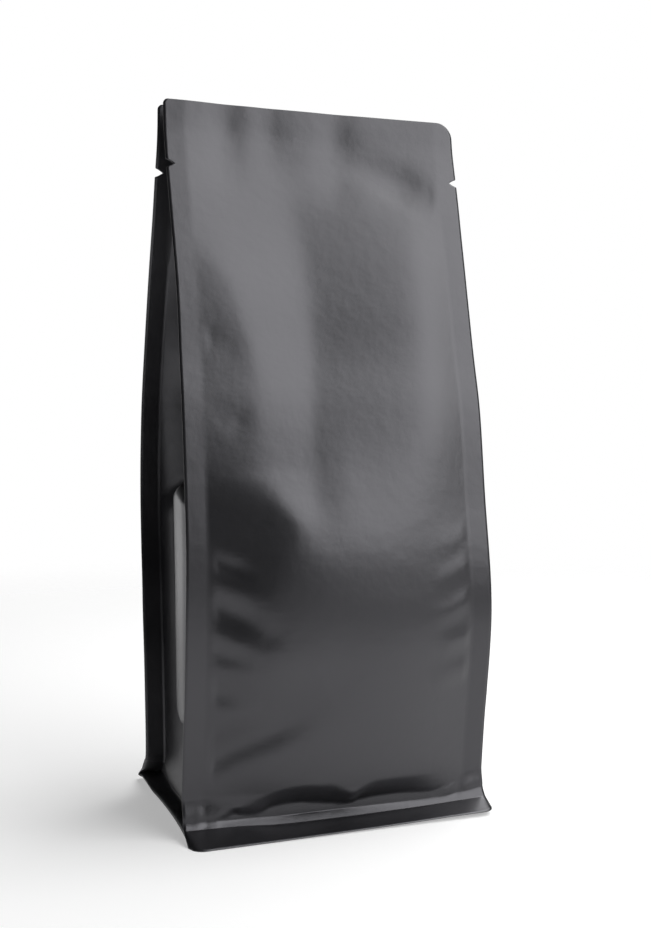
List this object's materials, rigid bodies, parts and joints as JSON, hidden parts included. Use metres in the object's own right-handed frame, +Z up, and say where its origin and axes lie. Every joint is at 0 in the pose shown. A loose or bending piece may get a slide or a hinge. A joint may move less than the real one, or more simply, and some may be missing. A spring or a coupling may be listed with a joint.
{
  "type": "flat-bottom pouch",
  "caption": "Upright flat-bottom pouch of matt dark film with side gussets, sealed corner fins, a splayed base skirt and tear notches near the top.",
  "frame": {"origin": "centre of the base, on the surface that the pouch stands on", "axes": "+X along the width of the front panel, the front panel faces -Y, +Z up"},
  "size_m": [0.146, 0.12, 0.331],
  "materials": {
    "film": "soft-touch matt film with a broad satin sheen"
  },
  "bodies": {
    "root": {"pouch": "film"}
  },
  "joints": []
}
